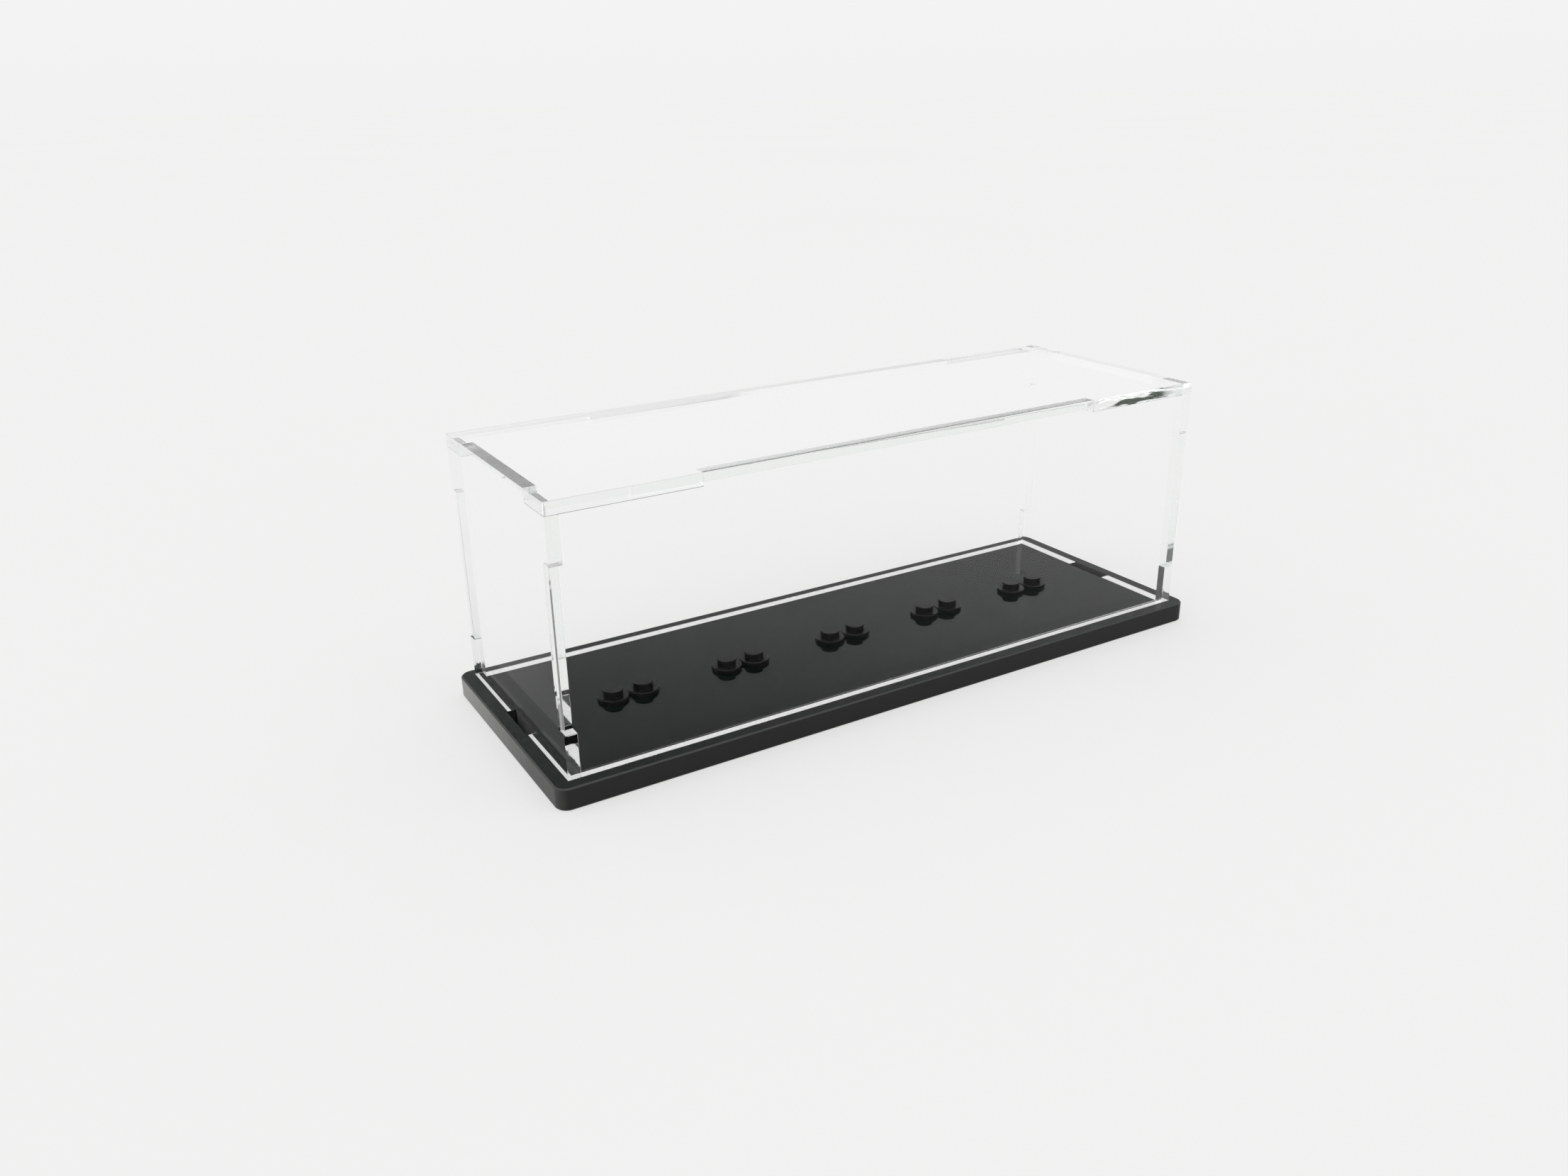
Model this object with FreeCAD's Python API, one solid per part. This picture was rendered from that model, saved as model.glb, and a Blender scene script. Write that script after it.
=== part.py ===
import FreeCAD, Part
import os

# A display case for small figures: a black base carrying pairs of studs, under a clear
# cover of five flat panels whose edges interlock. Sizes are in millimetres. Z is up, the
# front faces minus Y, and the origin is the centre of the underside of the base.

# Clear cover
sheet = 3.0             # thickness of every clear panel
inner_depth = 56.5      # clear space between the front and back panels
inner_height = 60.0     # clear space between the base and the top panel
end_room = 17.35        # clear space between the last stud piece and the end panel
joint_gap = 0.1         # saw gap left between the edges of two panels that meet
seat_gap = 0.05         # air left under the walls by their cut lower edges
corner_tab = 10.8       # height of the end panels' tabs at the foot and head of a corner
corner_setback = 0.3    # how far the front and back panels stop short of a corner
top_tab_long = 35.6     # length of the top panel's corner tabs along the front and back
top_tab_short = 11.0    # length of the top panel's corner tabs along the ends

# Locating feet under the end panels
foot_length = 13.6      # length of the foot along the end panel
foot_lift = 0.5         # height of the foot's lower edge above the underside of the base
slot_clearance = 0.25   # free space round the foot in its slot

# Black base
base_thickness = 5.5
rim_end = 3.5           # width of the base outside the end panels
rim_front = 3.0         # width of the base outside the front and back panels
base_corner_radius = 3.0
base_edge_bevel = 0.35  # bevel along the upper and lower edges of the base

# Stud pieces
pair_count = 5
pair_pitch = 31.5       # distance from one pair to the next
stud_pitch = 8.0        # distance between the two studs of a pair
flange_gap = 0.2        # free space between the two flanges of a pair
flange_thickness = 1.05
stud_diameter = 4.9
stud_height = 1.7
stud_edge_bevel = 0.15  # bevel round the top of the stud and of the flange
spigot_diameter = 6.4   # ring under the flange, pushed into the base
spigot_length = 2.1
spigot_clearance = 0.05
socket_diameter = 4.8   # hollow inside the ring
socket_depth = 1.9

# Derived sizes
flange_diameter = stud_pitch - flange_gap
row_length = (pair_count - 1) * pair_pitch + stud_pitch + flange_diameter
inner_length = row_length + 2 * end_room
half_length = inner_length / 2 + sheet
half_depth = inner_depth / 2 + sheet
base_top = base_thickness
wall_foot = base_top + seat_gap
head = base_top + inner_height
roof = head + sheet
shoulder = head - joint_gap
lap = sheet + joint_gap
half_gap = joint_gap / 2
rise_long = half_length - top_tab_long
rise_short = half_depth - top_tab_short


def across(half):
    """Close a half outline, given for positive first values, with its mirror image."""
    return half + [(-u, v) for u, v in reversed(half)]


def panel(outline, place, thickness):
    """Cut one flat panel: the outline set in space by place, pushed along thickness."""
    corners = [place(u, v) for u, v in outline]
    wire = Part.makePolygon(corners + corners[:1])
    return Part.Face(wire).extrude(thickness)


def front_outline():
    """Half outline of the front and back panels, in X and Z."""
    narrow = half_length - lap
    wide = half_length - corner_setback
    low = base_top + corner_tab + half_gap
    high = head - corner_tab - half_gap
    rise = rise_long - half_gap
    return [
        (narrow, wall_foot), (narrow, low), (wide, low), (wide, high),
        (narrow, high), (narrow, shoulder), (rise, shoulder), (rise, roof),
    ]


def end_outline():
    """Half outline of the end panels, in Y and Z, with the foot below."""
    narrow = half_depth - lap
    low = base_top + corner_tab - half_gap
    high = head - corner_tab + half_gap
    rise = rise_short - half_gap
    foot = foot_length / 2
    return [
        (foot, foot_lift), (foot, wall_foot), (half_depth, wall_foot), (half_depth, low),
        (narrow, low), (narrow, high), (half_depth, high), (half_depth, shoulder),
        (rise, shoulder), (rise, roof),
    ]


def top_outline():
    """Half outline of the top panel, in X and Y, notched on all four edges."""
    notch_long = rise_long + half_gap
    notch_short = rise_short + half_gap
    inner_x = half_length - lap
    inner_y = half_depth - lap
    return [
        (notch_long, -inner_y), (notch_long, -half_depth), (half_length, -half_depth),
        (half_length, -notch_short), (inner_x, -notch_short), (inner_x, notch_short),
        (half_length, notch_short), (half_length, half_depth), (notch_long, half_depth),
        (notch_long, inner_y),
    ]


def make_front(side):
    """Front panel for side -1, back panel for side 1."""
    outer = side * half_depth
    inward = FreeCAD.Vector(0, -side * sheet, 0)
    return panel(across(front_outline()), lambda u, v: FreeCAD.Vector(u, outer, v), inward)


def make_end(side):
    """Left panel for side -1, right panel for side 1."""
    outer = side * half_length
    inward = FreeCAD.Vector(-side * sheet, 0, 0)
    return panel(across(end_outline()), lambda u, v: FreeCAD.Vector(outer, u, v), inward)


def make_top():
    """Top panel, lying on the shoulders of the four walls."""
    upward = FreeCAD.Vector(0, 0, sheet)
    return panel(across(top_outline()), lambda u, v: FreeCAD.Vector(u, v, head), upward)


def stud_places():
    """Name and X place of every stud piece, pair by pair from the left."""
    first = -(pair_count - 1) * pair_pitch / 2
    places = []
    for pair in range(pair_count):
        middle = first + pair * pair_pitch
        places.append((f"stud_{pair + 1}_left", middle - stud_pitch / 2))
        places.append((f"stud_{pair + 1}_right", middle + stud_pitch / 2))
    return places


def make_base():
    """Base plate with rounded corners, two slots for the feet and a hole for each spigot."""
    length = 2 * (half_length + rim_end)
    depth = 2 * (half_depth + rim_front)
    corner = FreeCAD.Vector(-length / 2, -depth / 2, 0)
    plate = Part.makeBox(length, depth, base_thickness, corner)
    uprights = [e for e in plate.Edges if e.BoundBox.ZLength > base_thickness / 2]
    plate = plate.makeFillet(base_corner_radius, uprights)
    outline = [e for e in plate.Edges if e.BoundBox.ZLength < base_thickness / 2]
    plate = plate.makeChamfer(base_edge_bevel, outline)
    slot_width = sheet + 2 * slot_clearance
    slot_length = foot_length + 2 * slot_clearance
    cuts = []
    for side in (-1, 1):
        middle = side * (half_length - sheet / 2)
        start = FreeCAD.Vector(middle - slot_width / 2, -slot_length / 2, 0)
        cuts.append(Part.makeBox(slot_width, slot_length, base_thickness, start))
    hole_radius = spigot_diameter / 2 + spigot_clearance
    for name, x in stud_places():
        cuts.append(Part.makeCylinder(hole_radius, base_thickness, FreeCAD.Vector(x, 0, 0)))
    return plate.cut(cuts)


def make_stud(x):
    """One turned stud piece: stud, flange and hollow ring about one upright axis."""
    flange_top = base_top + flange_thickness
    stud_top = flange_top + stud_height
    ring_end = base_top - spigot_length
    socket_end = ring_end + socket_depth
    section = [
        (0, socket_end), (socket_diameter / 2, socket_end), (socket_diameter / 2, ring_end),
        (spigot_diameter / 2, ring_end), (spigot_diameter / 2, base_top),
        (flange_diameter / 2, base_top), (flange_diameter / 2, flange_top - stud_edge_bevel),
        (flange_diameter / 2 - stud_edge_bevel, flange_top), (stud_diameter / 2, flange_top),
        (stud_diameter / 2, stud_top - stud_edge_bevel),
        (stud_diameter / 2 - stud_edge_bevel, stud_top), (0, stud_top),
    ]
    corners = [FreeCAD.Vector(x + r, 0, z) for r, z in section]
    face = Part.Face(Part.makePolygon(corners + corners[:1]))
    axis_point = FreeCAD.Vector(x, 0, 0)
    return face.revolve(axis_point, FreeCAD.Vector(0, 0, 1), 360)


nodes = {
    "base_plate": make_base(),
    "front_panel": make_front(-1),
    "back_panel": make_front(1),
    "left_panel": make_end(-1),
    "right_panel": make_end(1),
    "top_panel": make_top(),
}
for name, x in stud_places():
    nodes[name] = make_stud(x)

os.makedirs("parts", exist_ok=True)
for name, shape in nodes.items():
    shape.exportStep(f"parts/{name}.step")
    print(name, shape.isValid(), len(shape.Solids), round(shape.Volume, 2))
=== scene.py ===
import math
import bpy
from mathutils import Matrix, Vector

# Looks of the figure display case: clear cut panels over a gloss black base with studs.
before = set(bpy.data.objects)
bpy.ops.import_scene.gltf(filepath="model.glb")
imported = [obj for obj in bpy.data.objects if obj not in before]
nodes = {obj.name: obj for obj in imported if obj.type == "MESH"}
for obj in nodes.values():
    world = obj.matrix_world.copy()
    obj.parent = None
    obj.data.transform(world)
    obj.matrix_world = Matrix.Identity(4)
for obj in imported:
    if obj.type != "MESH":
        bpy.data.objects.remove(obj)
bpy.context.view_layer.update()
scene = bpy.context.scene
mm = 0.001

# Sheet panels by the axis that runs through their thickness.
panels = {
    "front_panel": "Y", "back_panel": "Y",
    "left_panel": "X", "right_panel": "X",
    "top_panel": "Z",
}
studs = [name for name in nodes if name.startswith("stud_")]

# Refractive index of each surface. A low one mirrors less of the white surroundings.
edge_index = 1.49
face_index = {"X": 1.05, "Y": 1.15, "Z": 1.15}
contact_index = 1.0     # where a panel's lower edge bears on the base and shows it
base_index = 1.2
stud_index = 1.17

# The left and front panels bear on the base from these places inward, the left one only
# behind the front panel.
contact_start = {"X": -89.9 * mm, "Y": -29.05 * mm}
contact_front = -28.2 * mm
step_width = 0.1 * mm   # over which a mark begins

square_on = 0.8         # least share of the normal on a face that is square to an axis
slope = 0.7             # share of the normal that points up on a 45 degree bevel
slope_span = 0.2        # how far from it still counts as the bevel
broken_edge = 0.08 * mm
bounce_limit = 128      # clear edges turn black at the usual limit

# Room light by direction: height of the direction from level to overhead, and brightness.
back_levels = (
    (0.0, 0.885), (0.27, 0.94), (0.33, 0.88), (0.4, 0.87),
    (0.5, 0.66), (0.58, 0.64), (0.72, 1.1), (1.0, 1.25),
)
front_levels = (
    (0.0, 0.885), (0.14, 0.885), (0.25, 0.95), (0.55, 0.95), (0.75, 1.1), (1.0, 1.25),
)
left_levels = (
    (0.0, 0.885), (0.14, 0.885), (0.25, 1.3), (0.5, 1.3), (0.7, 1.1), (1.0, 1.25),
)


class Finish:
    """A material's nodes, with short ways to add and join them."""

    def __init__(self, name):
        self.material = bpy.data.materials.new(name)
        self.material.use_nodes = True
        self.tree = self.material.node_tree
        self.shader = self.tree.nodes["Principled BSDF"]

    def node(self, kind, **settings):
        made = self.tree.nodes.new(kind)
        for key, value in settings.items():
            setattr(made, key, value)
        return made

    def join(self, source, target):
        self.tree.links.new(source, target)

    def fill(self, socket, value):
        """Set a socket to a number, or join it to another node's output."""
        if isinstance(value, (int, float)):
            socket.default_value = value
        else:
            self.join(value, socket)

    def math(self, operation, first, second=None):
        """One sum of one or two values."""
        step = self.node("ShaderNodeMath", operation=operation)
        self.fill(step.inputs[0], first)
        if second is not None:
            self.fill(step.inputs[1], second)
        return step.outputs[0]

    def product(self, first, *others):
        """Several values multiplied together."""
        for other in others:
            first = self.math("MULTIPLY", first, other)
        return first

    def parts(self, source):
        """The X, Y and Z of the object's own coordinates or normals."""
        coordinates = self.node("ShaderNodeTexCoord")
        split = self.node("ShaderNodeSeparateXYZ")
        self.join(coordinates.outputs[source], split.inputs[0])
        return split.outputs

    def place(self, scale, shift):
        """Object coordinates, stretched by scale and then moved by shift."""
        coordinates = self.node("ShaderNodeTexCoord")
        mapping = self.node("ShaderNodeMapping")
        mapping.inputs["Scale"].default_value = scale
        mapping.inputs["Location"].default_value = shift
        self.join(coordinates.outputs["Object"], mapping.inputs["Vector"])
        return mapping.outputs["Vector"]

    def noise(self, size, scale=(1, 1, 1), detail=3.0, rough=0.5, bend=0.0, shift=(0, 0, 0)):
        """Noise whose marks are about size metres across."""
        texture = self.node("ShaderNodeTexNoise")
        texture.inputs["Scale"].default_value = 1 / size
        texture.inputs["Detail"].default_value = detail
        texture.inputs["Roughness"].default_value = rough
        texture.inputs["Distortion"].default_value = bend
        self.join(self.place(scale, shift), texture.inputs["Vector"])
        return texture.outputs["Fac"]

    def spread(self, value, low, high, start=0.3, end=0.7):
        """Map a value from start to end, at first the usual span of noise, onto low to high."""
        span = self.node("ShaderNodeMapRange")
        span.inputs["From Min"].default_value = start
        span.inputs["From Max"].default_value = end
        span.inputs["To Min"].default_value = low
        span.inputs["To Max"].default_value = high
        self.join(value, span.inputs["Value"])
        return span.outputs["Result"]

    def along(self, axis):
        """How squarely the surface faces along an axis, from 0 to 1."""
        return self.math("ABSOLUTE", self.parts("Normal")[axis])

    def grade(self, axis, none, full):
        """0 at one place along an axis, 1 at another, and graded between them."""
        return self.spread(self.parts("Object")[axis], 0.0, 1.0, none, full)

    def facing(self, axis):
        """1 on the faces square to an axis and 0 on the others."""
        return self.math("GREATER_THAN", self.along(axis), square_on)

    def sloped(self):
        """1 on the bevels between level and upright faces and 0 on the others."""
        bevel = self.math("COMPARE", self.along("Z"), slope)
        bevel.node.inputs[2].default_value = slope_span
        return bevel

    def colour(self, factor, first, second):
        """A colour that goes from first to second with factor."""
        blend = self.node("ShaderNodeMix", data_type="RGBA")
        self.join(factor, blend.inputs["Factor"])
        for socket, value in (("A", first), ("B", second)):
            if isinstance(value, tuple):
                blend.inputs[socket].default_value = (*value, 1)
            else:
                self.join(value, blend.inputs[socket])
        return blend.outputs["Result"]

    def between(self, factor, first, second):
        """A number that goes from first to second with factor."""
        blend = self.node("ShaderNodeMix", data_type="FLOAT")
        self.join(factor, blend.inputs["Factor"])
        self.fill(blend.inputs["A"], first)
        self.fill(blend.inputs["B"], second)
        return blend.outputs["Result"]

    def relief(self, height, depth):
        """Raise the surface by up to depth where height is 1."""
        bump = self.node("ShaderNodeBump")
        bump.inputs["Strength"].default_value = 1.0
        bump.inputs["Distance"].default_value = depth
        self.join(height, bump.inputs["Height"])
        self.join(bump.outputs["Normal"], self.shader.inputs["Normal"])


def clear_sheet(axis):
    """Clear acrylic sheet with polished faces and cut edges, for panels square to an axis.

    The level edges of the upright panels are rougher than the others. The cutter left
    streaks in the relief at the foot of the corners and on the top panel's right front tab;
    on that tab, dark streaks of painted reflection are also painted into the edge colour.
    """
    finish = Finish("clear_sheet_" + axis.lower())
    shader = finish.shader
    shader.inputs["IOR"].default_value = edge_index     # where a joined one can't be kept
    shader.inputs["Specular Tint"].default_value = (0.02, 0.02, 0.02, 1)
    shader.inputs["Transmission Weight"].default_value = 1.0
    upright = axis != "Z"
    face = finish.facing(axis)
    level = finish.facing("Z") if upright else None

    if upright:
        foot = finish.grade("Z", 17 * mm, 9 * mm)
        streaked = finish.product(foot, finish.math("SUBTRACT", 1.0, level))
        drag, shift = (1, 1, 0.45), (0, 0, 0)
    else:
        tab_start = finish.grade("X", 56 * mm, 63 * mm)
        tab_end = finish.grade("X", 86 * mm, 80 * mm)
        front = finish.grade("Y", 0.0, -10 * mm)
        streaked = finish.product(tab_start, tab_end, front)
        drag, shift = (0.16, 1, 1), (1.1 * mm, 0, -0.5 * mm)

    index = edge_index
    if upright:
        start = contact_start[axis]
        inward = finish.grade(axis, start, start + step_width)
        near_side = finish.grade(axis, 1 * mm, -1 * mm)
        low = finish.grade("Z", 7 * mm, 6 * mm)
        seated = finish.product(level, inward, near_side, low)
        if axis == "X":
            behind = finish.grade("Y", contact_front, contact_front + step_width)
            seated = finish.product(seated, behind)
        index = finish.between(seated, edge_index, contact_index)
    finish.join(finish.between(face, index, face_index[axis]), shader.inputs["IOR"])

    through = [0.06 if name == axis else 1.0 for name in "XYZ"]
    lengthwise = [1.0 if name == axis else 0.3 for name in "XYZ"]
    lines = finish.noise(0.4 * mm, through)
    waves = finish.noise(3.6 * mm, lengthwise, detail=1.0, bend=0.5)
    streaks = finish.noise(1.6 * mm, drag, detail=2.0, bend=1.2, shift=shift)
    fine = finish.math("ADD", finish.product(lines, 0.015), finish.product(waves, 0.1))
    cut = finish.math("ADD", fine, finish.product(streaks, streaked))
    finish.relief(finish.between(face, cut, 0.0), 0.12 * mm)

    smears = finish.noise(14 * mm, detail=4.0)
    polished = finish.spread(smears, 0.0, 0.012)
    sawn = finish.spread(lines, 0.03, 0.08)
    if upright:
        sawn = finish.between(level, sawn, finish.spread(lines, 0.36, 0.48))
    finish.join(finish.between(face, sawn, polished), shader.inputs["Roughness"])

    edge_tint = (0.945, 0.958, 0.950)
    if not upright:
        # Painted reflection: dark streaks painted into the edge colour of the top panel's right
        # front tab.
        painted_dark_reflection = finish.product(finish.spread(streaks, 0.0, 1.0, 0.5, 0.58), streaked)
        edge_tint = finish.colour(painted_dark_reflection, edge_tint, (0.012, 0.016, 0.012))
    tint = finish.colour(face, edge_tint, (0.996, 1.0, 0.997))
    finish.join(tint, shader.inputs["Base Color"])
    return finish.material


def gloss_base():
    """Gloss black acrylic: a polished top with faint smears, and cut sides.

    The end faces carry painted reflection, paler towards the back, and the bevels a painted
    highlight.
    """
    finish = Finish("gloss_black_base")
    shader = finish.shader
    shader.inputs["IOR"].default_value = base_index
    face = finish.facing("Z")
    smears = finish.noise(22 * mm, (1, 1.3, 1), detail=5.0, rough=0.6)
    lines = finish.noise(0.5 * mm, (1, 1, 0.05))
    polished = finish.spread(smears, 0.015, 0.05)
    sawn = finish.spread(lines, 0.30, 0.38)
    finish.join(finish.between(face, sawn, polished), shader.inputs["Roughness"])

    dust = finish.spread(smears, 0.0, 1.0)
    top = finish.colour(dust, (0.002, 0.0045, 0.0036), (0.005, 0.0085, 0.0072))
    # Painted reflection: the end faces are painted pale grey, paler towards the back, standing
    # in for bright light from the left.
    backward = finish.grade("Y", -20 * mm, 36 * mm)
    painted_end_reflection = finish.colour(backward, (0.055, 0.055, 0.053), (0.27, 0.27, 0.265))
    painted_reflection_share = finish.spread(finish.along("X"), 0.0, 1.0, 0.3, 1.0)
    side = finish.colour(painted_reflection_share, (0.020, 0.020, 0.020), painted_end_reflection)
    # Painted highlight: the bevels between the top and the sides are painted paler.
    side = finish.colour(finish.sloped(), side, (0.06, 0.06, 0.06))
    finish.join(finish.colour(face, side, top), shader.inputs["Base Color"])
    finish.relief(finish.between(face, lines, 0.0), 0.004 * mm)
    return finish.material


def moulded_stud():
    """Black moulded plastic with a fine skin, slight flow marks and a painted highlight on the
    bevels.
    """
    finish = Finish("moulded_black_stud")
    shader = finish.shader
    shader.inputs["IOR"].default_value = stud_index
    grain = finish.noise(0.25 * mm)
    flow = finish.noise(2.5 * mm)
    finish.join(finish.spread(flow, 0.07, 0.14), shader.inputs["Roughness"])
    marks = finish.spread(flow, 0.0, 1.0)
    shade = finish.colour(marks, (0.0095, 0.0095, 0.010), (0.0135, 0.0135, 0.014))
    # Painted highlight: the bevels of the studs are painted paler.
    shade = finish.colour(finish.sloped(), shade, (0.022, 0.022, 0.022))
    finish.join(shade, shader.inputs["Base Color"])
    finish.relief(grain, 0.002 * mm)
    return finish.material


def dress(name, material):
    """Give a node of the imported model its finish."""
    slots = nodes[name].data.materials
    slots.clear()
    slots.append(material)


def soften(name, width):
    """Break a panel's sharp edges with a narrow bevel."""
    joined = nodes[name].modifiers.new("joined_corners", "WELD")
    joined.merge_threshold = 0.001 * mm
    edge = nodes[name].modifiers.new("broken_edge", "BEVEL")
    edge.width = width
    edge.segments = 1
    edge.limit_method = "ANGLE"
    edge.angle_limit = math.radians(40)


def pale_floor():
    """Plain pale floor that keeps the soft shadow of the case.

    Part of its brightness where it is seen is its own, so that the shadow stays faint.
    Under the base it has none, so that the slots stay dark.
    """
    bpy.ops.object.select_all(action="DESELECT")
    bpy.ops.mesh.primitive_plane_add(size=24)
    floor = bpy.context.object
    floor.name = "pale_floor"
    finish = Finish("pale_floor")
    shader = finish.shader
    shader.inputs["Roughness"].default_value = 1.0
    shader.inputs["Specular IOR Level"].default_value = 0.0
    mottle = finish.spread(finish.noise(0.6, detail=2.0), 0.0, 1.0)
    pale = finish.colour(mottle, (0.876, 0.876, 0.870), (0.884, 0.884, 0.878))

    # Light that goes on through a clear panel counts as both of the last two kinds.
    rays = finish.node("ShaderNodeLightPath").outputs
    seen = finish.math("MAXIMUM", rays["Is Camera Ray"], rays["Is Transmission Ray"])
    seen = finish.math("MAXIMUM", seen, rays["Is Glossy Ray"])
    unseen_share, dimming, own_light = 0.9, 0.55, 0.627
    dim = finish.math("SUBTRACT", unseen_share, finish.product(seen, dimming))
    tone = finish.node("ShaderNodeVectorMath", operation="SCALE")
    finish.join(pale, tone.inputs[0])
    finish.join(dim, tone.inputs["Scale"])
    finish.join(tone.outputs["Vector"], shader.inputs["Base Color"])
    finish.join(pale, shader.inputs["Emission Color"])
    where = finish.parts("Object")
    past_end = finish.math("GREATER_THAN", finish.math("ABSOLUTE", where["X"]), 92 * mm)
    past_side = finish.math("GREATER_THAN", finish.math("ABSOLUTE", where["Y"]), 32 * mm)
    uncovered = finish.math("MAXIMUM", past_end, past_side)
    glow = finish.product(seen, uncovered, own_light)
    finish.join(glow, shader.inputs["Emission Strength"])
    floor.data.materials.append(finish.material)


def soft_light():
    """White room light from all round and above, brightest overhead and low on the left."""
    world = bpy.data.worlds.new("soft_room")
    scene.world = world
    world.use_nodes = True
    tree = world.node_tree
    background = tree.nodes["Background"]
    coordinates = tree.nodes.new("ShaderNodeTexCoord")
    direction = tree.nodes.new("ShaderNodeSeparateXYZ")
    tree.links.new(coordinates.outputs["Generated"], direction.inputs[0])

    def levels(stops):
        """Brightness that changes with height."""
        ramp = tree.nodes.new("ShaderNodeValToRGB")
        elements = ramp.color_ramp.elements
        elements.remove(elements[1])
        for place, (position, level) in enumerate(stops):
            stop = elements[0] if place == 0 else elements.new(position)
            stop.position = position
            stop.color = (level, level, level, 1)
        tree.links.new(direction.outputs["Z"], ramp.inputs["Fac"])
        return ramp.outputs["Color"]

    def swing(axis, start, end, first, second):
        """Go over from one set of levels to another along an axis."""
        step = tree.nodes.new("ShaderNodeMapRange")
        step.inputs["From Min"].default_value = start
        step.inputs["From Max"].default_value = end
        tree.links.new(direction.outputs[axis], step.inputs["Value"])
        mixed = tree.nodes.new("ShaderNodeMix")
        mixed.data_type = "RGBA"
        tree.links.new(step.outputs["Result"], mixed.inputs["Factor"])
        tree.links.new(first, mixed.inputs["A"])
        tree.links.new(second, mixed.inputs["B"])
        return mixed.outputs["Result"]

    room = swing("Y", -0.35, 0.15, levels(front_levels), levels(back_levels))
    room = swing("X", -0.35, -0.7, room, levels(left_levels))
    tree.links.new(room, background.inputs["Color"])


def photo_camera():
    """Camera at the photograph's place, for an image of 2212 by 1659."""
    place = Vector((-169.1611, -253.3891, 143.0565)) * mm
    azimuth = math.radians(-30.86418)
    elevation = math.radians(22.08565)
    roll = math.radians(-1.02311)
    level = math.cos(elevation)
    look = Vector((
        -math.sin(azimuth) * level,
        math.cos(azimuth) * level,
        -math.sin(elevation),
    ))
    right = look.cross(Vector((0, 0, 1))).normalized()
    up = right.cross(look)
    turned_right = math.cos(roll) * right + math.sin(roll) * up
    turned_up = math.cos(roll) * up - math.sin(roll) * right
    data = bpy.data.cameras.new("photo_camera")
    data.sensor_fit = "HORIZONTAL"
    data.sensor_width = 36
    data.lens = 28.366
    data.clip_start = 0.01
    camera = bpy.data.objects.new("photo_camera", data)
    scene.collection.objects.link(camera)
    turn = Matrix((turned_right, turned_up, -look)).transposed().to_4x4()
    camera.matrix_world = Matrix.Translation(place) @ turn
    scene.camera = camera


sheets = {axis: clear_sheet(axis) for axis in "XYZ"}
for name, axis in panels.items():
    dress(name, sheets[axis])
    soften(name, broken_edge)
dress("base_plate", gloss_base())
stud_finish = moulded_stud()
for name in studs:
    dress(name, stud_finish)

pale_floor()
soft_light()
photo_camera()
scene.view_settings.view_transform = "Standard"
scene.cycles.max_bounces = bounce_limit
scene.cycles.glossy_bounces = bounce_limit
scene.cycles.transmission_bounces = bounce_limit
